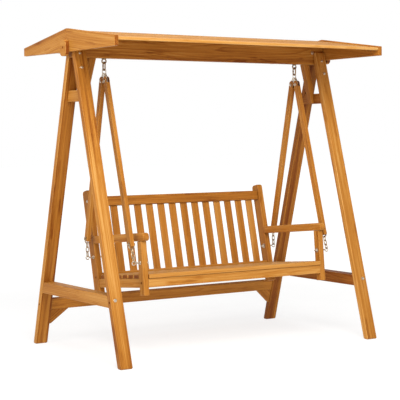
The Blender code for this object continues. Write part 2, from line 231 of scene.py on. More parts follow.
# oiled hardwood, from its darkest streaks to its palest
DEEP = (0.175, 0.042, 0.0030)
MIDDLE = (0.405, 0.156, 0.0205)
GOLDEN = (0.510, 0.240, 0.0540)
PALE = (0.600, 0.345, 0.1150)


def timber(name, ring, figure=1.0, lamina=0.0, contrast=1.0, flame=0.0):
    """Oiled hardwood. Grain runs along the first axis of the board's own coordinates.

    ring is a growth ring's width, figure how far the rings wander, lamina the width of a glued
    strip if there are any, and flame how dark the curled patches are.
    """
    g = Graph(name)
    grain, local, half = [g.attribute(name, "Vector") for name in ("grain", "local", "half")]
    tone, end_grain_and_painted_light = [g.attribute(name, "Fac") for name in ("tone", "end_grain_and_painted_light")]
    along, across, through = g.split(grain)

    if lamina:
        # strips glued side by side, each cut from another stick
        strip = g.math("FLOOR", g.math("DIVIDE", across, lamina))
        pick = g.node("TexWhiteNoise", {"W": strip}, noise_dimensions="1D").outputs
        across = g.scaled(pick["Value"], 0.21, across)
        along = g.scaled(pick["Value"], 3.7, along)
        grain = g.node("CombineXYZ", {0: along, 1: across, 2: through}).outputs[0]

    def strands(along_scale, cross_scale, detail, rough=0.5):
        stretched = g.stretch(grain, (along_scale, cross_scale, cross_scale))
        return g.noise(stretched, 1.0, detail, rough)["Fac"]

    # growth rings round a pith that wanders slowly along the board
    wander = g.noise(g.stretch(grain, (0.9, 4.0, 4.0)), 1.0, 1.5)
    bend = g.split(wander["Color"])
    side = g.add(across, g.swing(bend[0], 0.030 * figure))
    down = g.add(through, g.swing(bend[1], 0.030 * figure))
    radius = g.length(g.node("CombineXYZ", {0: 0.0, 1: side, 2: down}).outputs[0])
    radius = g.add(radius, g.swing(strands(6.0, 60.0, 2.0), 0.0022))
    turns = g.math("FRACT", g.math("DIVIDE", radius, ring))
    rings = g.ramp(turns, [(0.0, grey(0.25)), (0.55, grey(0.45)), (0.88, grey(1.0)),
                           (1.0, grey(0.25))], "EASE")
    wide = strands(0.6, 22.0, 2.0, 0.55)
    streaks = strands(2.2, 170.0, 3.0, 0.6)
    threads = strands(9.0, 800.0, 2.0, 0.6)
    blotch = strands(1.7, 7.0, 2.0)
    pores = g.mask(strands(45.0, 1500.0, 1.0), 0.60, 0.72)

    # how pale each point is: 0.5 is the middle colour
    level = g.add(0.5, tone)
    for layer, amount in ((wide, 0.26), (streaks, 0.24), (threads, 0.12), (blotch, 0.18)):
        level = g.add(level, g.swing(layer, amount * contrast))
    level = g.add(level, g.math("MULTIPLY", rings, -0.17 * contrast))
    level = g.add(level, 0.07 * contrast)
    if flame:
        curl = strands(4.5, 26.0, 3.0, 0.55)
        level = g.scaled(g.mask(curl, 0.56, 0.70), -flame, level)
    if lamina:
        level = g.add(level, g.swing(pick["Value"], 0.20))
    level = g.add(level, g.math("MULTIPLY", pores, -0.15))
    # end grain darkens here, and so do the painted shade of recesses and saw cuts and the painted
    # light and shade of left faces
    level = g.add(level, g.math("MULTIPLY", end_grain_and_painted_light, -END_SHADE))
    colour = g.ramp(level, [(0.0, DEEP), (0.5, MIDDLE), (0.75, GOLDEN), (1.0, PALE)], "LINEAR")

    # edges: a little paler, in patches: a painted highlight along them
    from_middle = g.node("VectorMath", {0: local}, operation="ABSOLUTE").outputs[0]
    to_face = g.node("VectorMath", {0: half, 1: from_middle}, operation="SUBTRACT").outputs[0]
    a, b, c = g.split(to_face)
    lowest = g.math("MINIMUM", g.math("MINIMUM", a, b), c)
    highest = g.math("MAXIMUM", g.math("MAXIMUM", a, b), c)
    total = g.add(g.add(a, b), c)
    second = g.math("SUBTRACT", g.math("SUBTRACT", total, lowest), highest)
    edge = g.mask(second, 0.0045, 0.0005)
    patch = g.mask(strands(14.0, 90.0, 2.0), 0.40, 0.62)
    edge_highlight = g.math("MULTIPLY", edge, g.scaled(patch, 0.22, 0.06))
    colour = g.mix(edge_highlight, colour, (*PALE, 1.0))

    rough = g.scaled(streaks, 0.16, 0.38)
    rough = g.scaled(pores, 0.14, rough)
    rough = g.scaled(edge_highlight, 0.25, rough)
    height = g.scaled(rings, 0.35, g.math("MULTIPLY", streaks, 0.55))
    height = g.scaled(threads, 0.35, height)
    height = g.scaled(pores, -0.9, height)
    bump = g.node("Bump", {"Strength": 0.35, "Distance": 0.0006, "Height": height})
    g.set(Base_Color=colour, Roughness=rough, Normal=bump.outputs[0], Specular_IOR_Level=0.10)
    return g.material


def plated(name, colour, shade, rough):
    """Zinc plate: a faint cloudy passivation, fine brushing, and dulling in patches."""
    g = Graph(name)
    place = g.node("TexCoord", {}).outputs["Object"]
    cloud = g.noise(place, 130.0, 3.0, 0.6)["Fac"]
    brush = g.noise(g.stretch(place, (300.0, 2600.0, 900.0)), 1.0, 2.0)["Fac"]
    specks = g.mask(g.noise(place, 900.0, 2.0)["Fac"], 0.62, 0.74)
    tint = g.mix(g.mask(cloud, 0.35, 0.68), (*colour, 1.0), (*shade, 1.0))
    tint = g.mix(g.math("MULTIPLY", specks, 0.35), tint, (*[c * 0.45 for c in shade], 1.0))
    level = g.scaled(cloud, 0.20, rough)
    level = g.scaled(specks, 0.15, level)
    height = g.scaled(brush, 0.5, cloud)
    bump = g.node("Bump", {"Strength": 0.18, "Distance": 0.0002, "Height": height})
    g.set(Base_Color=tint, Roughness=level, Normal=bump.outputs[0], Metallic=1.0)
    return g.material


WOODS = {
    "leg": timber("oiled_wood_laminated", 0.0085, lamina=0.0170, contrast=1.45, flame=0.22),
    "beam": timber("oiled_wood_figured", 0.0110, figure=1.8, contrast=1.9, flame=0.45),
    "board": timber("oiled_wood", 0.0080, figure=1.3, contrast=1.4, flame=0.20),
    "slat": timber("oiled_wood_fine", 0.0060),
}
ZINC = plated("bright_zinc", (0.80, 0.73, 0.62), (0.42, 0.33, 0.23), 0.22)
# zinc tinted brown with darker patches: a painted reflection of the surrounding wood
ZINC_PAINTED_REFLECTION = plated("zinc_painted_wood_reflection", (0.66, 0.52, 0.36), (0.26, 0.18, 0.10), 0.20)
# near-black steel for the screw heads down in their recesses: painted shade of the recess
RECESS_DARK_STEEL = plated("screw_steel_painted_shade", (0.07, 0.05, 0.035), (0.04, 0.03, 0.02), 0.45)
# yellow zinc tinted dark brown: partly the plating's own colour, partly a painted reflection of
# the surrounding wood
YELLOW_ZINC_PAINTED_REFLECTION = plated("yellow_zinc_painted_wood_reflection", (0.46, 0.32, 0.18), (0.17, 0.095, 0.045), 0.20)


# ---- meshes ----

def link_object(name, data):
    made = bpy.data.objects.new(name, data)
    bpy.context.scene.collection.objects.link(made)
    return made


def solid_mesh(name, solid):
    """Turns a mesh being built into a finished one."""
    mesh = bpy.data.meshes.new(name)
    solid.to_mesh(mesh)
    solid.free()
    return mesh


def bake_modifiers(obj):
    graph = bpy.context.evaluated_depsgraph_get()
    mesh = bpy.data.meshes.new_from_object(obj.evaluated_get(graph))
    obj.modifiers.clear()
    obj.data = mesh


def join(name, objects):
    first = objects[0]
    with bpy.context.temp_override(active_object=first, selected_objects=objects,
                                   selected_editable_objects=objects):
        bpy.ops.object.join()
    first.name = name
    first.data.name = name
    return first


def finish_board(obj, wood):
    """The board's material and smooth shading."""
    obj.data.materials.clear()
    obj.data.materials.append(WOODS[wood])
    for face in obj.data.polygons:
        face.use_smooth = True
    step = obj.modifiers.new("even_shading", "WEIGHTED_NORMAL")
    step.mode = "FACE_AREA"
    step.weight = 90
    return obj


def sharp_solid(node):
    """The CAD node's real faces met edge to edge, without its small chamfers and bolt holes."""
    cloud = bmesh.new()
    for vertex in NODES[node].data.vertices:
        cloud.verts.new(vertex.co)
    bmesh.ops.remove_doubles(cloud, verts=cloud.verts, dist=1e-5)
    bmesh.ops.convex_hull(cloud, input=cloud.verts)
    bmesh.ops.dissolve_limit(cloud, angle_limit=math.radians(1.0), verts=cloud.verts,
                             edges=cloud.edges)
    planes = []
    for face in cloud.faces:
        longest = max(edge.calc_length() for edge in face.edges)
        area = face.calc_area()
        if area / longest > NARROW:
            planes.append((area, face.calc_center_median().copy(), face.normal.copy()))
    middle = sum((v.co for v in cloud.verts), Vector()) / len(cloud.verts)
    cloud.free()
    planes.sort(key=lambda row: -row[0])
    solid = bmesh.new()
    bmesh.ops.create_cube(solid, size=5.0, matrix=Matrix.Translation(middle))
    for area, point, normal in planes:
        if normal.dot(middle - point) > 0:
            normal.negate()
        everything = solid.verts[:] + solid.edges[:] + solid.faces[:]
        made = bmesh.ops.bisect_plane(solid, geom=everything, dist=1e-6, plane_co=point,
                                      plane_no=normal, clear_outer=True)
        rim = [item for item in made["geom_cut"] if isinstance(item, bmesh.types.BMEdge)]
        bmesh.ops.edgeloop_fill(solid, edges=rim)
    bmesh.ops.recalc_face_normals(solid, faces=solid.faces)
    return solid


def outline_solid(outline, thick, place, centre=0.0):
    """A closed outline given a thickness, in a placed frame."""
    solid = bmesh.new()
    low = [solid.verts.new((a, b, centre - thick / 2)) for a, b in outline]
    high = [solid.verts.new((a, b, centre + thick / 2)) for a, b in outline]
    solid.faces.new(low[::-1])
    solid.faces.new(high)
    for i in range(len(outline)):
        j = (i + 1) % len(outline)
        solid.faces.new((low[i], low[j], high[j], high[i]))
    bmesh.ops.transform(solid, matrix=place, verts=solid.verts)
    bmesh.ops.recalc_face_normals(solid, faces=solid.faces)
    return solid


def side_frame(x):
    """Outlines drawn as (y, z), thickness along X."""
    return Matrix(((0, 0, 1, x), (1, 0, 0, 0), (0, 1, 0, 0), (0, 0, 0, 1)))


def front_frame(y):
    """Outlines drawn as (x, z), thickness along Y."""
    return Matrix(((1, 0, 0, 0), (0, 0, -1, y), (0, 1, 0, 0), (0, 0, 0, 1)))


def box_solid(xs, ys, zs, place):
    """A box between three spans, in a placed frame."""
    outline = [(xs[0], zs[0]), (xs[1], zs[0]), (xs[1], zs[1]), (xs[0], zs[1])]
    return outline_solid(outline, ys[1] - ys[0], place @ front_frame(0.0), -(ys[0] + ys[1]) / 2)


def grain_axes(solid, along=None):
    """Board axes: along its longest edge, across its broadest face, and through it."""
    longest = max(solid.edges, key=lambda edge: edge.calc_length())
    first = (longest.verts[1].co - longest.verts[0].co).normalized() if along is None else along
    if first.dot(Vector((1.0, 0.13, 0.37))) < 0:     # one sense for each direction
        first = -first
    broad = [face for face in solid.faces if abs(face.normal.dot(first)) < 0.5]
    widest = max(broad, key=lambda face: face.calc_area())
    third = (widest.normal - first * widest.normal.dot(first)).normalized()
    second = third.cross(first)
    return Matrix((first, second, third))


def drift(z, bands):
    """How much paler a board is painted at a height, between the heights given: painted light and
    shade along it.
    """
    for (low, first), (high, last) in zip(bands, bands[1:]):
        if low <= z <= high:
            return first + (last - first) * (z - low) / (high - low)
    return 0.0


def paint(obj, axes, dice, tone, holes=(), flank=None, end=1.0, saw=False, bands=()):
    """Stores each point's place in the board's own axes, for the grain, edges and end grain.

    flank is how much paler the left-facing faces are painted: painted light where it is positive,
    and painted shade where negative; end scales the shade of the end grain; saw paints shade on
    the walls of a bar's saw cut; and bands are (height, tone) pairs that paint light and shade
    along the board.
    """
    mesh = obj.data
    spots = [axes @ vertex.co for vertex in mesh.vertices]
    low = Vector([min(s[k] for s in spots) for k in range(3)])
    high = Vector([max(s[k] for s in spots) for k in range(3)])
    middle = (low + high) / 2
    shift = Vector((dice.uniform(0.0, 40.0), dice.uniform(-0.035, 0.035),
                    dice.choice((-1, 1)) * dice.uniform(0.018, 0.060)))
    whole = (high - low) / 2
    grain = []
    local = []
    for spot in spots:
        grain.extend(spot - middle + shift)
        local.extend(spot - middle)
    halves = list(whole) * len(spots)
    for name, values in (("grain", grain), ("local", local), ("half", halves)):
        layer = mesh.attributes.new(name, "FLOAT_VECTOR", "POINT")
        layer.data.foreach_set("vector", values)
    shade = mesh.attributes.new("tone", "FLOAT", "POINT")
    shade.data.foreach_set("value", [tone + drift(v.co.z, bands) for v in mesh.vertices])
    end_grain_and_painted_light = mesh.attributes.new("end_grain_and_painted_light", "FLOAT", "FACE")
    facing = [end if abs((axes @ face.normal)[0]) > 0.72 else 0.0 for face in mesh.polygons]
    for face in mesh.polygons:
        if flank is not None and face.normal.x < -0.8:
            facing[face.index] = -flank / END_SHADE
        # the walls of a bar's saw cut are painted dark: painted shade inside the slot
        inside = abs(abs(face.center.x) - HANG_X) < SLOT_HALF + GAP
        if saw and inside and abs(face.normal.x) > 0.9:
            facing[face.index] = SLOT_PAINTED_SHADE
        # the walls of each screw recess are painted dark: painted shade inside it
        for point, normal in holes:
            depth = (point - face.center).dot(normal)
            beside = (face.center - point + normal * depth).length
            if beside < HOLE * 1.02 and depth > 0.0005:
                facing[face.index] = RECESS_PAINTED_SHADE
    end_grain_and_painted_light.data.foreach_set("value", facing)


def cylinder(radius, start, end):
    """A solid to cut a recess with."""
    axis = end - start
    turn = axis.to_track_quat("Z", "Y").to_matrix().to_4x4()
    solid = bmesh.new()
    bmesh.ops.create_cone(solid, cap_ends=True, segments=20, radius1=radius, radius2=radius,
                          depth=axis.length, matrix=Matrix.Translation((start + end) / 2) @ turn)
    return solid


def cut(obj, solid):
    cutter = link_object("cutter", solid_mesh("cutter", solid))
    step = obj.modifiers.new("cut", "BOOLEAN")
    step.operation = "DIFFERENCE"
    step.solver = "EXACT"
    step.object = cutter
    bake_modifiers(obj)
    bpy.data.objects.remove(cutter, do_unlink=True)


def round_edges(obj, limit, width, segments):
    step = obj.modifiers.new("round", "BEVEL")
    step.limit_method = limit
    step.angle_limit = math.radians(30)
    step.width = width
    step.segments = segments
    bake_modifiers(obj)


def band_cuts(mesh, bands):
    """Rings of edges at the heights where a board's painted light and shade change."""
    solid = bmesh.new()
    solid.from_mesh(mesh)
    for height, _ in bands:
        everything = solid.verts[:] + solid.edges[:] + solid.faces[:]
        bmesh.ops.bisect_plane(solid, geom=everything, dist=1e-5, plane_co=(0, 0, height),
                               plane_no=(0, 0, 1))
    solid.to_mesh(mesh)
    solid.free()


def board(name, solid, wood, dice, radius=0.003, tone=0.0, along=None, foot=0.0, holes=(),
          slot=None, flank=None, end=1.0, bands=()):
    """One board with rounded edges, its grain painted on, and its recesses or slot cut."""
    axes = grain_axes(solid, along)
    gentle = [e for e in solid.edges if math.radians(8) < e.calc_face_angle(0) < math.radians(45)]
    if gentle:
        bmesh.ops.bevel(solid, geom=gentle, offset=0.0026, segments=3, profile=0.5,
                        affect="EDGES", clamp_overlap=True)
    largest = max(radius, foot)
    weights = solid.edges.layers.float.new("bevel_weight_edge")
    for edge in solid.edges:
        if edge.calc_face_angle(0) > math.radians(50):
            at_foot = foot and all(v.co.z < 0.001 for v in edge.verts)
            edge[weights] = (foot if at_foot else radius) / largest
    obj = link_object(name, solid_mesh(name, solid))
    round_edges(obj, "WEIGHT", largest, 4 if foot else 3)
    for point, normal in holes:
        cut(obj, cylinder(HOLE, point + normal * 0.004, point - normal * HOLE_DEEP))
    if slot:
        cut(obj, slot)
    if bands:
        band_cuts(obj.data, bands)
    paint(obj, axes, dice, tone, holes, flank, end, bool(slot), bands)
    return finish_board(obj, wood)


def place_piece(obj, slot, *nodes):
    """The piece stands for these CAD nodes and rides on their body."""
    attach(obj, BODY[nodes[0]])
    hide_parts(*nodes)


def timber_piece(node, wood, dice, solid=None, **looks):
    """A board that stands for one CAD node."""
    made = board(f"timber_{node}", solid or sharp_solid(node), wood, dice, **looks)
    place_piece(made, TIMBER, node)


def ring_of(target, point, turn, height, steps, radius_at):
    """A ring of vertices round an axis; radius_at gives the radius at an angle."""
    ring = []
    for k in range(steps):
        a = 2 * math.pi * k / steps
        r = radius_at(a)
        spot = Vector((r * math.cos(a), r * math.sin(a), height))
        ring.append(target.verts.new(point + turn @ spot))
    return ring


def skin(target, rings, steps):
    """Faces between neighbouring rings; a ring of one vertex is a point."""
    for one, two in zip(rings, rings[1:]):
        for k in range(steps):
            n = (k + 1) % steps
            corners = [one[k % len(one)], one[n % len(one)], two[n % len(two)], two[k % len(two)]]
            unique = list(dict.fromkeys(corners))
            if len(unique) > 2:
                target.faces.new(unique)


def cap(target, ring, spot):
    """Closes a ring with a fan of faces to one more vertex."""
    hub = target.verts.new(spot)
    for k in range(len(ring)):
        target.faces.new((ring[k], ring[(k + 1) % len(ring)], hub))


def lathe(target, profile, point, axis, steps=20):
    """Turns a profile of (radius, height), which starts and ends on the axis, about it."""
    turn = axis.to_track_quat("Z", "Y").to_matrix()
    rings = []
    for radius, height in profile:
        around = steps if radius > 1e-7 else 1
        rings.append(ring_of(target, point, turn, height, around, lambda a: radius))
    skin(target, rings, steps)


def hex_head(target, point, axis, flats, high):
    """A hexagon nut or bolt head with its corners turned off, and a shallow crown."""
    steps = 36
    turn = axis.to_track_quat("Z", "Y").to_matrix()
    apothem = flats / 2

    def spoke(angle, limit):
        folded = (angle + math.pi / 6) % (math.pi / 3) - math.pi / 6
        return min(apothem / math.cos(folded), limit)

    full = apothem / math.cos(math.pi / 6)
    rows = ((0.0, apothem * 1.03), (high * 0.08, full), (high * 0.86, full),
            (high * 0.97, apothem * 1.01), (high, apothem * 0.93))
    rings = []
    for height, limit in rows:
        rings.append(ring_of(target, point, turn, height, steps, lambda a: spoke(a, limit)))
    skin(target, rings, steps)
    cap(target, rings[0], point)
    cap(target, rings[-1], point + turn @ Vector((0, 0, high)))


def washer(target, point, axis, radius, thick):
    edge = thick * 0.3
    profile = [(0.0, 0.0), (radius - edge, 0.0), (radius, edge), (radius, thick - edge),
               (radius - edge, thick), (0.0, thick)]
    lathe(target, profile, point, axis, 28)


def dome(target, point, axis, radius, high):
    """A round bolt head."""
    profile = [(0.0, 0.0), (radius * 0.92, 0.0), (radius, high * 0.14),
               (radius * 0.94, high * 0.42), (radius * 0.76, high * 0.72),
               (radius * 0.42, high * 0.94), (0.0, high)]
    lathe(target, profile, point, axis, 24)


def tube(target, path, radius, sides, closed=False):
    """Round wire along a path."""
    points = [Vector(p) for p in path]
    count = len(points)
    tangents = []
    for i in range(count):
        if closed:
            before, after = points[i - 1], points[(i + 1) % count]
        else:
            before, after = points[max(i - 1, 0)], points[min(i + 1, count - 1)]
        tangents.append((after - before).normalized())
    normal = tangents[0].orthogonal().normalized()
    rings = []
    for i in range(count):
        normal = (normal - tangents[i] * normal.dot(tangents[i])).normalized()
        other = tangents[i].cross(normal)
        ring = []
        for k in range(sides):
            a = 2 * math.pi * k / sides
            spoke = (normal * math.cos(a) + other * math.sin(a)) * radius
            ring.append(target.verts.new(points[i] + spoke))
        rings.append(ring)
    spans = count if closed else count - 1
    for i in range(spans):
        one, two = rings[i], rings[(i + 1) % count]
        turn = 0
        if closed and i == count - 1:                # the last ring meets the first untwisted
            turn = min(range(sides), key=lambda s: (two[s].co - one[0].co).length)
        for k in range(sides):
            a, b = (k + turn) % sides, (k + 1 + turn) % sides
            target.faces.new((one[k], one[(k + 1) % sides], two[b], two[a]))
    if not closed:
        for i, out in ((0, -1), (count - 1, 1)):
            cap(target, rings[i], points[i] + tangents[i] * out * radius * 0.35)


def plate(target, outline, thick, place):
    """A flat steel plate with eased edges, added to a mesh being built."""
    solid = outline_solid(outline, thick, place)
    sharp = [e for e in solid.edges if e.calc_face_angle(0) > math.radians(50)]
    bmesh.ops.bevel(solid, geom=sharp, offset=0.0006, segments=2, affect="EDGES",
                    clamp_overlap=True)
    mesh = solid_mesh("plate", solid)
    target.from_mesh(mesh)
    bpy.data.meshes.remove(mesh)


def metal(name, target, material=ZINC):
    """A finished steel piece, smooth but for its sharp edges."""
    bmesh.ops.recalc_face_normals(target, faces=target.faces)
    mesh = solid_mesh(name, target)
    mesh.materials.append(material)
    obj = link_object(name, mesh)
    for face in mesh.polygons:
        face.use_smooth = True
    mesh.set_sharp_from_angle(angle=math.radians(32))
    return obj


def arc(cx, cz, radius, start, stop, steps):
    """Points round a centre, from one angle to another in degrees."""
    points = []
    for k in range(steps + 1):
        a = math.radians(start + (stop - start) * k / steps)
        points.append((cx + radius * math.cos(a), cz + radius * math.sin(a)))
    return points


def oval(long, end, steps):
    """Closed centreline of a link, long axis up, as (side, up)."""
    half = long / 2 - end
    return arc(0, half, end, 0, 180, steps) + arc(0, -half, end, 180, 360, steps)


# ---- frame timber ----

def leg_outer(z):
    """How far out a leg's outer sloping face is at a height."""
    return FOOT_HALF - LEG_SLOPE * z


def leg_middle(z):
    """The same for the middle of its side face."""
    return leg_outer(z) - LEG_THICK * math.hypot(1.0, LEG_SLOPE) / 2


SIDE_SCREW_Z = 0.349
STRETCHER_SCREW_Z = 0.2465
SCREWS = []  # (point, normal, body) of each recessed screw


def recess(body, point, normal):
    SCREWS.append((point, normal, body))
    return point, normal


# the nearest leg is painted darker towards its top, a painted shadow of the roof, and towards its
# foot, painted shade where less light reaches it: (height, tone)
LEG_PAINTED_SHADE = ((-0.01, -0.10), (0.20, -0.04), (0.45, 0.10), (0.75, 0.16), (1.05, 0.06),
             (1.30, -0.14), (1.50, -0.16), (1.80, -0.04))


def gable_solid(node, place):
    solid = sharp_solid(node)
    if place == "rear":
        for vertex in solid.verts:
            if vertex.co.y > ROOF_HALF_Y - 0.001 and vertex.co.z < GABLE_BOTTOM + 0.001:
                vertex.co.z += REAR_TIP_LIFT
    return solid


def frame_timber():
    """Legs, rails, braces, gables with their cleats, the beam and the stretcher."""
    dice = random.Random(411)
    tones = {
        "leg_front_left": 0.10, "leg_rear_left": -0.06, "leg_front_right": 0.09,
        "leg_rear_right": -0.14, "ridge_beam": -0.07, "rear_stretcher": -0.09,
        "lower_side_rail_left": 0.12, "lower_side_rail_right": -0.36,
        # the right lower side rail's much darker tone also paints the shade that falls on it
        "gable_front_left": 0.06, "gable_rear_left": -0.06,
        "gable_front_right": -0.10, "gable_rear_right": -0.12, "upper_cross_rail_left": 0.04,
        "upper_cross_rail_right": -0.20, "stretcher_gusset_left": -0.20,
        "stretcher_gusset_right": -0.16, "knee_brace_left": 0.0, "knee_brace_right": -0.04,
    }
    # painted light on each leg's left-facing faces: paler where positive, painted shade where
    # negative
    flanks = {"leg_front_left": -0.10, "leg_rear_left": 0.38, "leg_front_right": -0.05,
              "leg_rear_right": -0.10}
    for side, label in SIDES:
        out = Vector((side, 0, 0))
        for sign, place in ((-1, "front"), (1, "rear")):
            node = f"leg_{place}_{label}"
            z = STRETCHER_SCREW_Z if place == "rear" else SIDE_SCREW_Z
            spot = Vector((side * LEG_FACE, sign * leg_middle(z), z))
            timber_piece(node, "leg", dice, radius=0.0045, tone=tones[node], foot=0.009,
                         holes=[recess("frame", spot, out)], flank=flanks[node],
                         bands=LEG_PAINTED_SHADE if node == "leg_front_left" else ())
        for node in (f"lower_side_rail_{label}", f"upper_cross_rail_{label}",
                     f"knee_brace_{label}", f"stretcher_gusset_{label}"):
            timber_piece(node, "board", dice, tone=tones.get(node, dice.uniform(-0.05, 0.05)))
        for place in ("front", "rear"):
            node = f"gable_{place}_{label}"
            timber_piece(node, "board", dice, gable_solid(node, place),
                         tone=tones.get(node, dice.uniform(-0.05, 0.05)),
                         end=1.5 if side < 0 else 0.2)
        node = f"gable_cleat_{label}"
        low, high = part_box(node)
        centre = (low + high) / 2
        face = Vector((high.x if side > 0 else low.x, 0.0, centre.z + 0.004))
        # grain set front to back, so its front and back faces are darkened as end grain: painted
        # shade on its front face
        timber_piece(node, "slat", dice, radius=0.0025, tone=0.05, along=Vector((0, 1, 0)),
                     end=1.7, holes=[recess("frame", face, out)])
    for node, wood in (("ridge_beam", "beam"), ("rear_stretcher", "board")):
        timber_piece(node, wood, dice, tone=tones[node])


# ---- roof ----

V_GROOVE = 0.003  # how far the V between two boards cuts into each
EASE = 0.0025  # the same underneath and at the eave
TONGUE = 0.005
EAVE_PAINTED_LIGHT = 0.20  # tone added to the board at each eave: painted light on the lit eave


def roof_board_outline(k):
    """The board's section as (down the slope, up from its top face)."""
    width = (ROOF_HALF_Y - 0.003) / BOARDS_PER_SLOPE
    reach = math.hypot(1.0, ROOF_FALL)
    a, b = k * width * reach + GAP, (k + 1) * width * reach - GAP
    t = BOARD_THICK * 0.99
    if k < BOARDS_PER_SLOPE - 1:
        outline = [(a + V_GROOVE, 0.0), (b - V_GROOVE, 0.0), (b, -V_GROOVE), (b, -0.0055),
                   (b + TONGUE, -0.0060), (b + TONGUE, -0.0100), (b, -0.0105)]
    else:
        outline = [(a + V_GROOVE, 0.0), (b - EASE, 0.0), (b, -EASE)]
    outline += [(b, EASE - t), (b - EASE, -t), (a + EASE, -t), (a, EASE - t)]
    if k:                     # the groove that takes the next board's tongue
        deep = a + TONGUE + 0.001
        outline += [(a, -0.0110), (deep, -0.0105), (deep, -0.0055), (a, -0.0050)]
    return outline + [(a, -V_GROOVE)]


def roof():
    """Tongue-and-groove boards side by side, with a V at each joint above and below."""
    dice = random.Random(733)
    half_long = GABLE_INSIDE - 0.0005
    lean = math.atan(ROOF_FALL)
    top = Matrix.Translation((0, 0, ROOF_PEAK - BOARD_SET_DOWN))
    for sign, place in ((-1, "front"), (1, "rear")):
        slope = top @ Matrix.Rotation(-sign * lean, 4, "X")
        boards = []
        for k in range(BOARDS_PER_SLOPE):
            outline = [(sign * y, z) for y, z in roof_board_outline(k)]
            solid = outline_solid(outline, 2 * half_long, slope @ side_frame(0.0))
            axes = grain_axes(solid, Vector((1, 0, 0)))
            made = link_object("roof_board", solid_mesh("roof_board", solid))
            round_edges(made, "ANGLE", 0.0008, 2)
            # every roof board is painted paler, painted light on the slopes, and the eave board
            # paler still
            paler = EAVE_PAINTED_LIGHT if k == BOARDS_PER_SLOPE - 1 else 0.0
            paint(made, axes, dice, dice.uniform(0.10, 0.26) + paler)
            boards.append(finish_board(made, "board"))
        place_piece(join(f"roof_slope_{place}", boards), TIMBER, f"roof_boards_{place}")


# ---- bench timber ----

def slot_cutter(side, kind):
    """The saw cut down a bar's top, where the yoke's plates go in."""
    inner, sign = (FRONT_BAR, -1) if kind == "bar_front" else (REAR_BAR, 1)
    top, foot = bar_points(inner, sign)
    along = (foot - top).normalized()
    wide = Vector((-along.y, along.x)) * BAR_WIDE * 0.75
    deep, above = top + along * SLOT_DEEP, top - along * 0.010
    gate = [tuple(deep - wide), tuple(deep + wide), tuple(above + wide), tuple(above - wide)]
    return outline_solid(gate, 2 * SLOT_HALF, side_frame(side * HANG_X))


# (piece, radius of its rounded edges)
BENCH_SIDE = (("front_post", 0.0035), ("back_post", 0.0035), ("armrest", 0.0045),
              ("seat_side_rail", 0.0025), ("bar_front", 0.0025), ("bar_rear", 0.0025))


def bench_timber():
    """Posts, armrests, rails, suspension bars and seat slats."""
    dice = random.Random(97)
    tones = {
        "armrest_left": 0.13, "armrest_right": 0.14, "seat_front_rail": 0.12,
        "front_post_left": 0.12, "front_post_right": 0.20, "back_post_left": -0.08,
        "back_post_right": -0.02, "bar_front_left": 0.07, "bar_rear_left": -0.02,
        "bar_front_right": 0.03, "bar_rear_right": -0.07, "seat_side_rail_left": 0.06,
        "seat_side_rail_right": 0.0,
    }
    # painted light on these pieces' left-facing faces: paler where positive, painted shade where
    # negative
    flanks = {"front_post_left": 0.04, "front_post_right": -0.20, "back_post_right": -0.12}
    for side, label in SIDES:
        out = Vector((side, 0, 0))
        screws = {"front_post": [BENCH @ Vector((side * POST_OUT, 0.0235, -0.069))],
                  "back_post": [BACK @ Vector((side * POST_OUT, 0.028, -0.083))]}
        for kind, radius in BENCH_SIDE:
            node = f"{kind}_{label}"
            holes = [recess("swing", place, out) for place in screws.get(kind, [])]
            timber_piece(node, "board", dice, radius=radius, holes=holes,
                         tone=tones.get(node, dice.uniform(-0.06, 0.07)),
                         slot=slot_cutter(side, kind) if kind.startswith("bar") else None,
                         flank=flanks.get(node, 0.0),
                         end={"armrest": 0.4, "back_post": 0.5}.get(kind, 1.0))
    for node in ("seat_front_rail", "seat_rear_rail"):
        timber_piece(node, "board", dice, tone=tones.get(node, 0.0))
    for k in range(1, SEAT_SLATS + 1):
        timber_piece(f"seat_slat_{k}", "slat", dice, radius=0.0045,
                     tone=dice.uniform(0.24, 0.42), end=2.2)


def backrest():
    """Two rails with upright slats let into them; the CAD holds them as one body."""
    dice = random.Random(58)
    inside = POST_OUT - POST_THICK - GAP
    let_in = 0.010
    for name, span, radius, tone in (("top", TOP_RAIL_S, 0.006, -0.09),
                                     ("foot", FOOT_RAIL_S, 0.004, 0.02)):
        solid = box_solid((-inside, inside), BACK_RAIL_N, span, BACK)
        rail = board(f"back_{name}_rail", solid, "board", dice, radius=radius, tone=tone)
        place_piece(rail, TIMBER, "backrest")
    slats = []
    for k in range(BACK_SLATS):
        x = (k - (BACK_SLATS - 1) / 2) * BACK_PITCH
        solid = box_solid((x - BACK_SLAT_WIDE / 2, x + BACK_SLAT_WIDE / 2), BACK_SLAT_N,
                          (FOOT_RAIL_S[1] - let_in, TOP_RAIL_S[0] + let_in), BACK)
        slats.append(board("back_slat", solid, "slat", dice, radius=0.003,
                           tone=dice.uniform(-0.09, 0.09)))
    place_piece(join("back_slats", slats), TIMBER, "backrest")


# ---- steel ----

HEX_WASHER = 0.0014  # thickness of the washer under most bolt heads
BOW_FLARE = 0.0108  # half the width of the yoke's bow at its widest
BOW_CORNER = 0.0070
YOKE_FOOT = 1.594  # heights of the bow's ends, its necks and its shoulders
YOKE_NECK = 1.599
YOKE_SHOULDER = 1.606
# the yoke's plates, as (y, z): an upturned V with a leg down into each bar
YOKE_SHAPE = [(-0.009, YOKE_SHOULDER), (-0.033, 1.572), (-0.034, 1.552), (-0.028, 1.548),
              (-0.019, 1.552), (0.0, YOKE_FOOT), (0.017, 1.552), (0.026, 1.548),
              (0.031, 1.554), (0.029, 1.574), (0.009, YOKE_SHOULDER)]


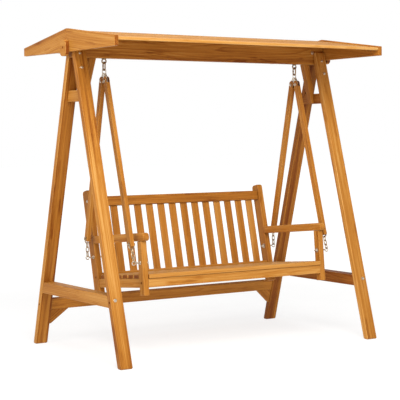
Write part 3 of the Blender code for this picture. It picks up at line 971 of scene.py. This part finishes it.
def beam_hardware(side, label):
    """Eye bolt under the beam, the link on it, and the yoke that holds the two bars."""
    x = side * HANG_X
    up = Vector((0, 0, 1))
    under = BEAM_BOTTOM - GAP
    bm = bmesh.new()
    ring = [(x + a, 0.0, b) for a, b in arc(0.0, EYE_Z, EYE_RING + STOUT, 0, 360, 40)[:-1]]
    tube(bm, ring, WIRE + STOUT, 14, closed=True)
    lathe(bm, [(0.0, -0.002), (0.0046, 0.0), (SHANK, 0.0020), (SHANK, 0.050), (0.0, 0.052)],
          Vector((x, 0, EYE_Z + EYE_RING)), up)
    washer(bm, Vector((x, 0, under - 0.0024)), up, 0.0145, 0.0024)
    place_piece(metal(f"eye_bolt_{label}", bm, YELLOW_ZINC_PAINTED_REFLECTION), STEEL, f"beam_eye_bolt_{label}")

    bm = bmesh.new()
    link_top = EYE_Z - EYE_RING + 2 * WIRE + GAP
    middle = link_top - LINK_LONG / 2
    path = [(x, a, middle + b) for a, b in oval(LINK_LONG + 2 * STOUT, LINK_END + STOUT, 14)]
    tube(bm, path, WIRE + STOUT, 14, closed=True)
    weld = [(0.0, -0.006), (0.0040, -0.006), (0.0048, -0.004), (0.0048, 0.004),
            (0.0040, 0.006), (0.0, 0.006)]
    lathe(bm, weld, Vector((x, LINK_END + STOUT, middle)), up, 16)
    place_piece(metal(f"link_{label}", bm, YELLOW_ZINC_PAINTED_REFLECTION), STEEL, f"upper_link_{label}")

    bm = bmesh.new()
    bow_z = link_top - LINK_LONG + WIRE + BOW_WIRE + GAP - BOW_CORNER
    reach = (YOKE_PLATE[0] + YOKE_PLATE[1]) / 2
    bow_x = BOW_FLARE - BOW_CORNER
    bow = [(-reach, YOKE_FOOT), (-reach - 0.001, YOKE_NECK), (-BOW_FLARE, YOKE_SHOULDER)]
    bow += arc(-bow_x, bow_z, BOW_CORNER, 180, 90, 8) + arc(bow_x, bow_z, BOW_CORNER, 90, 0, 8)
    bow += [(BOW_FLARE, YOKE_SHOULDER), (reach + 0.001, YOKE_NECK), (reach, YOKE_FOOT)]
    tube(bm, [(x + a, 0, b) for a, b in bow], BOW_WIRE, 12)
    for hand in (-1, 1):
        plate(bm, YOKE_SHAPE, YOKE_PLATE[1] - YOKE_PLATE[0], side_frame(x + hand * reach))
        face = Vector((hand, 0, 0))
        for inner, sign in ((FRONT_BAR, -1), (REAR_BAR, 1)):
            top, foot = bar_points(inner, sign)
            spot = top + (foot - top).normalized() * 0.026
            centre = Vector((x + hand * BAR_THICK / 2, spot.x, spot.y))
            washer(bm, centre, face, 0.0100, HEX_WASHER)
            if hand * side < 0:
                hex_head(bm, centre + face * HEX_WASHER, face, 0.0140, 0.0056)
                bolt_end(bm, centre, face, 0.0029, 0.0090, 0.0098)
            else:
                dome(bm, centre + face * HEX_WASHER, face, 0.0084, 0.0044)
    place_piece(metal(f"yoke_{label}", bm), STEEL, f"bar_yoke_{label}")


def bolt_end(bm, centre, face, radius, shoulder, tip):
    """The end of a bolt, standing out of its nut."""
    lathe(bm, [(0.0, 0.004), (radius, 0.004), (radius, shoulder), (radius - 0.0006, tip),
               (0.0, tip)], centre, face, 14)


def bar_points(inner, sign):
    """Centre line of a suspension bar, from its top to its foot, as (y, z)."""
    start, slope = inner
    half = BAR_WIDE / 2 * math.hypot(1.0, slope)
    y_top = start + sign * half
    y_foot = start + sign * (slope * (BAR_TOP - BAR_FOOT) + half)
    return Vector((y_top, BAR_TOP)), Vector((y_foot, BAR_FOOT))


def lower_bracket(bm, side, foot, along):
    """Two straps bolted to the sides of a bar's foot, and the bow that joins them under it."""
    x = side * HANG_X
    sideways = Vector((-along.y, along.x))
    low = foot + along * 0.014
    reach = (CHEEK[0] + CHEEK[1]) / 2
    bend = 0.009
    bow = [(-reach, 0.010)] + arc(bend - reach, bend, bend, 180, 270, 7)
    bow += arc(reach - bend, bend, bend, 270, 360, 7) + [(reach, 0.010)]
    tube(bm, [(x + a, *(low - along * b)) for a, b in bow], BOW_WIRE, 12)
    strap = []
    round_end = 0.008
    for centre, first, out in ((foot - along * 0.026, 0, 1), (foot + along * 0.008, 180, -1)):
        tip = centre + along * (out * round_end)
        for side_way, back in arc(0.0, 0.0, round_end, first, first + 180, 6):
            strap.append(tuple(tip + sideways * side_way - along * back))
    centre = foot - along * 0.014
    for hand in (-1, 1):
        plate(bm, strap, CHEEK[1] - CHEEK[0], side_frame(x + hand * reach))
        face = Vector((hand, 0, 0))
        spot = Vector((x + hand * CHEEK[1], centre.x, centre.y))
        washer(bm, spot, face, 0.0086, HEX_WASHER)
        hex_head(bm, spot + face * HEX_WASHER, face, 0.0128, 0.0058)
        if hand * side < 0:
            bolt_end(bm, spot, face, 0.0026, 0.0095, 0.0102)
    return low


def three_links(bm, x, low, eye):
    """Links from a bracket's bow down to the eye of the bench, every second one turned."""
    bite = 0.0004             # how far touching links press into each other
    goal = Vector((eye[0], eye[1] + EYE_SMALL))
    down = (goal - low).normalized()
    span = (goal - low).length
    lead = BOW_WIRE + CHAIN_WIRE - bite
    step = 2 * CHAIN_WIRE - bite
    long = (span + WIRE + CHAIN_WIRE + 2 * GAP + lead + 2 * step) / 3
    at = low - down * lead
    for k in range(3):
        middle = at + down * (long / 2)
        path = []
        for s, u in oval(long, CHAIN_END, 10):
            spot = middle - down * u
            if k == 1:
                path.append((x + s, *spot))
            else:
                path.append((x, *(spot + Vector((-down.y, down.x)) * s)))
        tube(bm, path, CHAIN_WIRE, 12, closed=True)
        at = at + down * (long - step)


def post_eye_bolt(side, eye):
    """The eye bolt through a bench post, with a washer and nut on either side."""
    x = side * HANG_X
    y, z = eye
    out = Vector((side, 0, 0))
    bm = bmesh.new()
    ring = [(a, y, b) for a, b in arc(x, z, EYE_SMALL, 0, 360, 36)[:-1]]
    tube(bm, ring, WIRE, 14, closed=True)
    inside = POST_OUT - POST_THICK
    lathe(bm, [(0.0, 0.0), (0.0036, 0.0008), (SHANK, 0.003), (SHANK, 0.0817),
               (0.0034, 0.0825), (0.0, 0.0825)], Vector((x - side * EYE_SMALL, y, z)), -out)
    washer(bm, Vector((side * (POST_OUT + GAP), y, z)), out, 0.0105, 0.0016)
    hex_head(bm, Vector((side * (POST_OUT + 0.0021), y, z)), out, 0.0125, 0.0052)
    washer(bm, Vector((side * (inside - GAP), y, z)), -out, 0.0140, 0.0018)
    hex_head(bm, Vector((side * (inside - 0.0021), y, z)), -out, 0.0185, 0.0080)
    return bm


def chain_hardware(side, label):
    """Under each bar: a bracket, three links, and the eye bolt through the bench post."""
    for sign, place, inner, eye in ((-1, "front", FRONT_BAR, FRONT_EYE),
                                    (1, "rear", REAR_BAR, REAR_EYE)):
        top, foot = bar_points(inner, sign)
        bm = bmesh.new()
        low = lower_bracket(bm, side, foot, (foot - top).normalized())
        three_links(bm, side * HANG_X, low, eye)
        where = f"{place}_{label}"
        place_piece(metal(f"bracket_and_chain_{where}", bm, ZINC_PAINTED_REFLECTION), STEEL, f"chain_{where}")
        bolt = metal(f"eye_bolt_{where}", post_eye_bolt(side, eye))
        place_piece(bolt, STEEL, f"post_eye_bolt_{where}")


def leg_bolt(bm, side, sign, x, z, size):
    """Bolt head and washer on the sloping outer face of a leg."""
    rise = math.hypot(1.0, LEG_SLOPE)
    normal = Vector((0, sign / rise, LEG_SLOPE / rise))
    point = Vector((side * x, sign * leg_outer(z), z))
    washer(bm, point + normal * 0.0001, normal, size * 0.92, HEX_WASHER)
    hex_head(bm, point + normal * HEX_WASHER, normal, size * 1.25, size * 0.55)


def extra_piece(obj, body):
    """A steel piece that stands for no CAD node."""
    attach(obj, body)


# (x, height, size) of the bolts on each leg's sloping face: the side rail's and two for the beam
LEG_BOLTS = ((0.8665, 0.361, 0.0105), (0.8600, 1.6300, 0.0090), (0.8600, 1.7120, 0.0090))
# a recessed screw's head, with a socket in it
SCREW_PROFILE = [(0.0, 0.0), (HOLE * 0.9, 0.0), (HOLE * 0.9, 0.0006), (HOLE * 0.62, 0.0016),
                 (HOLE * 0.36, 0.0016), (HOLE * 0.30, 0.0004), (0.0, 0.0002)]


def bolts():
    """Bolt heads on the frame and the bench, and the heads down in their recesses."""
    for side, label in SIDES:
        bm = bmesh.new()
        for sign in (-1, 1):
            for x, z, size in LEG_BOLTS:
                leg_bolt(bm, side, sign, x, z, size)
            spot = Vector((side * 0.8090, sign * BEAM_HALF_Y, 1.7640))
            face = Vector((0, sign, 0))
            washer(bm, spot, face, 0.0115, 0.0018)
            hex_head(bm, spot + face * 0.0018, face, 0.0150, 0.0065)
        extra_piece(metal(f"frame_bolts_{label}", bm), "frame")
        bm = bmesh.new()
        out = Vector((side, 0, 0))
        place = BACK @ Vector((side * POST_OUT, 0.019, 0.372))
        washer(bm, place, out, 0.0088, HEX_WASHER)
        dome(bm, place + out * 0.0013, out, 0.0072, 0.0036)
        extra_piece(metal(f"bench_bolts_{label}", bm), "swing")
    for body in ("frame", "swing"):
        bm = bmesh.new()
        for point, normal, owner in SCREWS:
            if owner == body:
                lathe(bm, SCREW_PROFILE, point - normal * (HOLE_DEEP - 0.0002), normal, 18)
        # near-black heads: painted shade down in the recesses
        extra_piece(metal(f"recessed_screws_{body}", bm, RECESS_DARK_STEEL), body)


# ---- stage, lights and camera ----

def stage():
    """A wide pale floor that glows enough to stay nearly white."""
    bm = bmesh.new()
    bmesh.ops.create_circle(bm, cap_ends=True, segments=96, radius=45.0)
    mesh = solid_mesh("floor", bm)
    g = Graph("floor_paint")
    place = g.node("TexCoord", {}).outputs["Object"]
    mottle = g.noise(place, 3.0, 3.0)["Fac"]
    tint = g.mix(mottle, (0.24, 0.24, 0.24, 1.0), (0.28, 0.28, 0.28, 1.0))
    glow = g.scaled(g.mask(g.length(place), 2.0, 6.0), 0.20, 0.80)
    g.set(Base_Color=tint, Roughness=0.9, Specular_IOR_Level=0.0,
          Emission_Color=(1.0, 1.0, 1.0, 1.0), Emission_Strength=glow)
    mesh.materials.append(g.material)
    link_object("floor", mesh)


WARM = (1.0, 0.985, 0.96)
# (name, place, what it points at, width and height, power)
AREA_LIGHTS = (
    ("key", (-1.8, -4.4, 4.4), (-0.2, 0.0, 0.9), (3.0, 3.0), 330.0),
    ("side", (-4.6, -1.2, 2.7), (-0.2, 0.0, 0.8), (1.6, 1.6), 80.0),
    ("top", (0.0, -0.6, 5.0), (0.0, 0.0, 1.8), (2.5, 1.5), 62.0),
)
# the world's brightness from level to straight up, as (height of the direction, grey)
SKY = ((0.16, 1.0), (0.45, 0.30))


def lights():
    """A pale surround, darker overhead, and three soft lights."""
    world = bpy.data.worlds.new("studio")
    bpy.context.scene.world = world
    world.use_nodes = True
    nodes = world.node_tree.nodes
    links = world.node_tree.links
    back = nodes["Background"]
    back.inputs["Strength"].default_value = 1.0
    place = nodes.new("ShaderNodeTexCoord")
    split = nodes.new("ShaderNodeSeparateXYZ")
    shade = nodes.new("ShaderNodeValToRGB")
    links.new(place.outputs["Generated"], split.inputs[0])
    links.new(split.outputs[2], shade.inputs[0])
    links.new(shade.outputs[0], back.inputs["Color"])
    for element, (height, level) in zip(shade.color_ramp.elements, SKY):
        element.position = height
        element.color = (*grey(level), 1.0)
    for name, place, target, size, power in AREA_LIGHTS:
        data = bpy.data.lights.new(name, "AREA")
        data.shape = "RECTANGLE"
        data.size, data.size_y = size
        data.energy = power
        data.color = WARM
        lamp = link_object(name, data)
        lamp.location = place
        lamp.rotation_euler = (Vector(target) - Vector(place)).to_track_quat("-Z", "Y").to_euler()
    bpy.context.scene.view_settings.view_transform = "Standard"
    bpy.context.scene.view_settings.look = "None"


CAMERA_PLACE = (-4.0787, -6.2446, 1.2352)
CAMERA_YAW = 0.5746  # radians to the right of straight ahead
CAMERA_PITCH = -0.0507
CAMERA_ROLL = -0.0081
CAMERA_LENS = 111.39  # millimetres, on a sensor 36 mm wide


def camera():
    """At the angle the object was seen from: to its left, a little above the bench."""
    ahead = Vector((math.sin(CAMERA_YAW) * math.cos(CAMERA_PITCH),
                    math.cos(CAMERA_YAW) * math.cos(CAMERA_PITCH), math.sin(CAMERA_PITCH)))
    right = ahead.cross(Vector((0, 0, 1))).normalized()
    up = right.cross(ahead)
    across = right * math.cos(CAMERA_ROLL) + up * math.sin(CAMERA_ROLL)
    above = up * math.cos(CAMERA_ROLL) - right * math.sin(CAMERA_ROLL)
    data = bpy.data.cameras.new("view")
    data.lens = CAMERA_LENS
    data.sensor_width = 36.0
    data.clip_end = 200.0
    eye = link_object("view", data)
    turn = Matrix((across, above, -ahead)).transposed().to_4x4()
    eye.matrix_world = Matrix.Translation(CAMERA_PLACE) @ turn
    bpy.context.scene.camera = eye


frame_timber()
roof()
bench_timber()
backrest()
for hand, word in SIDES:
    beam_hardware(hand, word)
    chain_hardware(hand, word)
bolts()
stage()
lights()
camera()
